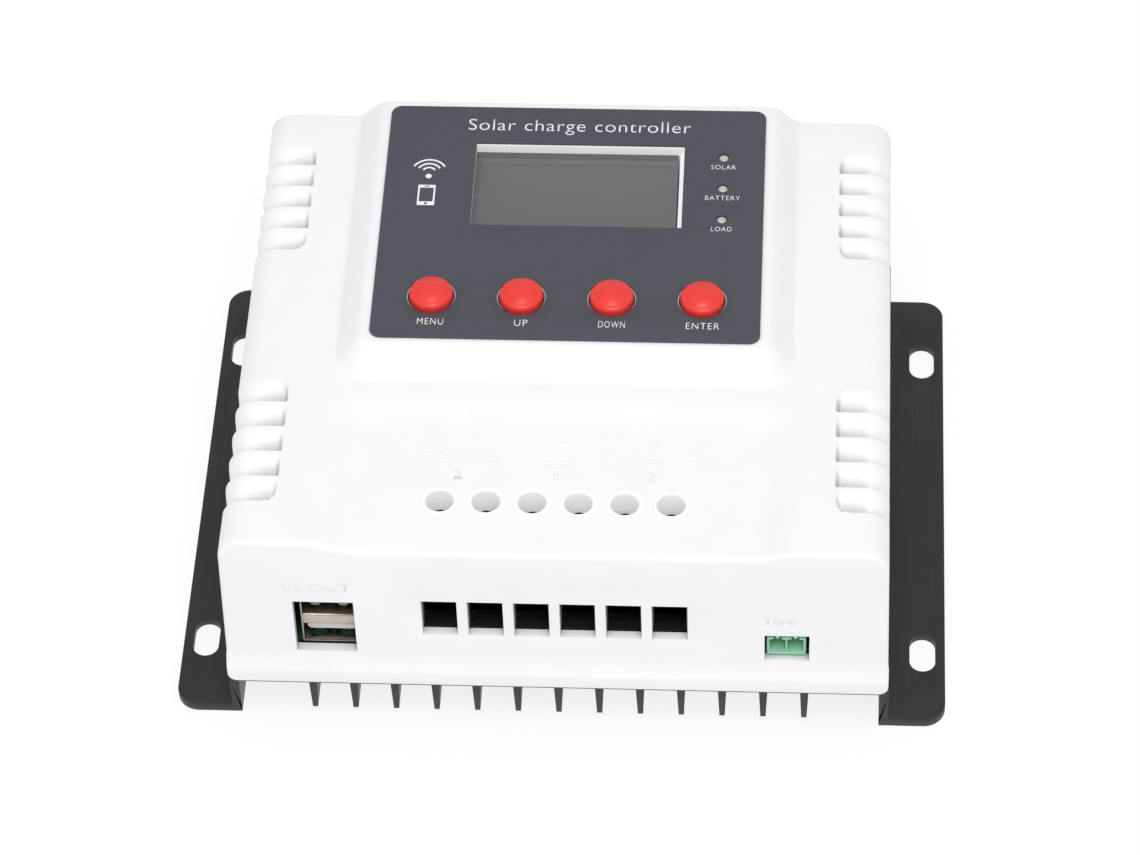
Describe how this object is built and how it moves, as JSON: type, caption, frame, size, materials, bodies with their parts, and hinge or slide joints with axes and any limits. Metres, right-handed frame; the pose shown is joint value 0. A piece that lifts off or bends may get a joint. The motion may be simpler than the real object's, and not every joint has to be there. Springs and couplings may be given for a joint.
{
  "type": "solar charge controller",
  "caption": "Wall-mounted solar charge controller: white shell with a raised display panel and red push buttons on a black finned heat sink with slotted wings.",
  "frame": {"origin": "under the middle of the controller, on the surface that it is mounted on", "axes": "+X to the right across the wiring side, +Y from the wiring side to the display side, +Z out of the mounting surface"},
  "size_m": [0.1742, 0.1356, 0.0695],
  "materials": {
    "heat_sink": "black anodised extrusion, satin",
    "cover": "white moulded plastic, fine satin texture",
    "label": "slate grey printed film, satin",
    "screen_frame": "white diffuser frame",
    "screen_glass": "unlit grey display with a polished front",
    "circuit_board": "green solder mask",
    "led_lens": "clear smoky lens",
    "switch_body": "black moulding",
    "button_cap": "red satin cap",
    "steel_screw": "zinc plated",
    "ferrite": "sintered grey-black",
    "copper_wire": "enamelled copper",
    "capacitor_sleeve": "shrink sleeve",
    "insulating_pad": "soft grey sheet",
    "transistor_case": "moulded epoxy",
    "radio_can": "tinned can",
    "ribbon": "grey ribbon",
    "terminal_housing": "black moulding",
    "terminal_screw": "plated steel",
    "clamp_cage": "nickel plated",
    "contact_bar": "tinned brass",
    "port_shell": "nickel plated sheet",
    "port_core": "white moulding",
    "sensor_header": "green moulding",
    "header_pin": "tinned pin"
  },
  "bodies": {
    "housing": {"heat_sink": "heat_sink", "cover": "cover", "display_label": "label", "screen_frame": "screen_frame", "screen_glass": "screen_glass", "display_board": "circuit_board", "solar_led": "led_lens", "battery_led": "led_lens", "load_led": "led_lens", "menu_switch": "switch_body", "up_switch": "switch_body", "down_switch": "switch_body", "enter_switch": "switch_body", "main_board": "circuit_board", "board_screw_1": "steel_screw", "board_screw_2": "steel_screw", "board_screw_3": "steel_screw", "board_screw_4": "steel_screw", "inductor_core": "ferrite", "inductor_coil": "copper_wire", "capacitor_1": "capacitor_sleeve", "capacitor_2": "capacitor_sleeve", "insulating_pad": "insulating_pad", "power_transistor_1": "transistor_case", "power_transistor_2": "transistor_case", "radio_module": "radio_can", "ribbon_cable": "ribbon", "terminal_block": "terminal_housing", "contact_bar_1": "contact_bar", "contact_bar_2": "contact_bar", "contact_bar_3": "contact_bar", "contact_bar_4": "contact_bar", "contact_bar_5": "contact_bar", "contact_bar_6": "contact_bar", "port_shell": "port_shell", "port_core": "port_core", "sensor_header": "sensor_header", "header_pin_1": "header_pin", "header_pin_2": "header_pin", "housing_screw_1": "steel_screw", "housing_screw_2": "steel_screw", "housing_screw_3": "steel_screw", "housing_screw_4": "steel_screw"},
    "menu_button": {"menu_button": "button_cap"},
    "up_button": {"up_button": "button_cap"},
    "down_button": {"down_button": "button_cap"},
    "enter_button": {"enter_button": "button_cap"},
    "terminal_screw_1": {"terminal_screw_1": "terminal_screw"},
    "terminal_screw_2": {"terminal_screw_2": "terminal_screw"},
    "terminal_screw_3": {"terminal_screw_3": "terminal_screw"},
    "terminal_screw_4": {"terminal_screw_4": "terminal_screw"},
    "terminal_screw_5": {"terminal_screw_5": "terminal_screw"},
    "terminal_screw_6": {"terminal_screw_6": "terminal_screw"},
    "terminal_cage_1": {"terminal_cage_1": "clamp_cage"},
    "terminal_cage_2": {"terminal_cage_2": "clamp_cage"},
    "terminal_cage_3": {"terminal_cage_3": "clamp_cage"},
    "terminal_cage_4": {"terminal_cage_4": "clamp_cage"},
    "terminal_cage_5": {"terminal_cage_5": "clamp_cage"},
    "terminal_cage_6": {"terminal_cage_6": "clamp_cage"}
  },
  "joints": [
    {"name": "menu_press", "type": "slide", "parent": "housing", "child": "menu_button", "axis": [0, 0, -1], "range_m": [0, 0.0003], "stiffness_N_per_m": 5000},
    {"name": "up_press", "type": "slide", "parent": "housing", "child": "up_button", "axis": [0, 0, -1], "range_m": [0, 0.0003], "stiffness_N_per_m": 5000},
    {"name": "down_press", "type": "slide", "parent": "housing", "child": "down_button", "axis": [0, 0, -1], "range_m": [0, 0.0003], "stiffness_N_per_m": 5000},
    {"name": "enter_press", "type": "slide", "parent": "housing", "child": "enter_button", "axis": [0, 0, -1], "range_m": [0, 0.0003], "stiffness_N_per_m": 5000},
    {"name": "screw_turn_1", "type": "hinge", "parent": "housing", "child": "terminal_screw_1", "pos_m": [-0.0254, -0.0512, 0.048], "axis": [0, 0, -1], "range_deg": [0, 1800]},
    {"name": "screw_turn_2", "type": "hinge", "parent": "housing", "child": "terminal_screw_2", "pos_m": [-0.01524, -0.0512, 0.048], "axis": [0, 0, -1], "range_deg": [0, 1800]},
    {"name": "screw_turn_3", "type": "hinge", "parent": "housing", "child": "terminal_screw_3", "pos_m": [-0.00508, -0.0512, 0.048], "axis": [0, 0, -1], "range_deg": [0, 1800]},
    {"name": "screw_turn_4", "type": "hinge", "parent": "housing", "child": "terminal_screw_4", "pos_m": [0.00508, -0.0512, 0.048], "axis": [0, 0, -1], "range_deg": [0, 1800]},
    {"name": "screw_turn_5", "type": "hinge", "parent": "housing", "child": "terminal_screw_5", "pos_m": [0.01524, -0.0512, 0.048], "axis": [0, 0, -1], "range_deg": [0, 1800]},
    {"name": "screw_turn_6", "type": "hinge", "parent": "housing", "child": "terminal_screw_6", "pos_m": [0.0254, -0.0512, 0.048], "axis": [0, 0, -1], "range_deg": [0, 1800]},
    {"name": "cage_rise_1", "type": "slide", "parent": "housing", "child": "terminal_cage_1", "axis": [0, 0, 1], "range_m": [0, 0.0035]},
    {"name": "cage_rise_2", "type": "slide", "parent": "housing", "child": "terminal_cage_2", "axis": [0, 0, 1], "range_m": [0, 0.0035]},
    {"name": "cage_rise_3", "type": "slide", "parent": "housing", "child": "terminal_cage_3", "axis": [0, 0, 1], "range_m": [0, 0.0035]},
    {"name": "cage_rise_4", "type": "slide", "parent": "housing", "child": "terminal_cage_4", "axis": [0, 0, 1], "range_m": [0, 0.0035]},
    {"name": "cage_rise_5", "type": "slide", "parent": "housing", "child": "terminal_cage_5", "axis": [0, 0, 1], "range_m": [0, 0.0035]},
    {"name": "cage_rise_6", "type": "slide", "parent": "housing", "child": "terminal_cage_6", "axis": [0, 0, 1], "range_m": [0, 0.0035]}
  ],
  "couplings": [
    {"joint": "screw_turn_1", "follows": "cage_rise_1", "rad_per_m": 8975.9},
    {"joint": "screw_turn_2", "follows": "cage_rise_2", "rad_per_m": 8975.9},
    {"joint": "screw_turn_3", "follows": "cage_rise_3", "rad_per_m": 8975.9},
    {"joint": "screw_turn_4", "follows": "cage_rise_4", "rad_per_m": 8975.9},
    {"joint": "screw_turn_5", "follows": "cage_rise_5", "rad_per_m": 8975.9},
    {"joint": "screw_turn_6", "follows": "cage_rise_6", "rad_per_m": 8975.9}
  ]
}
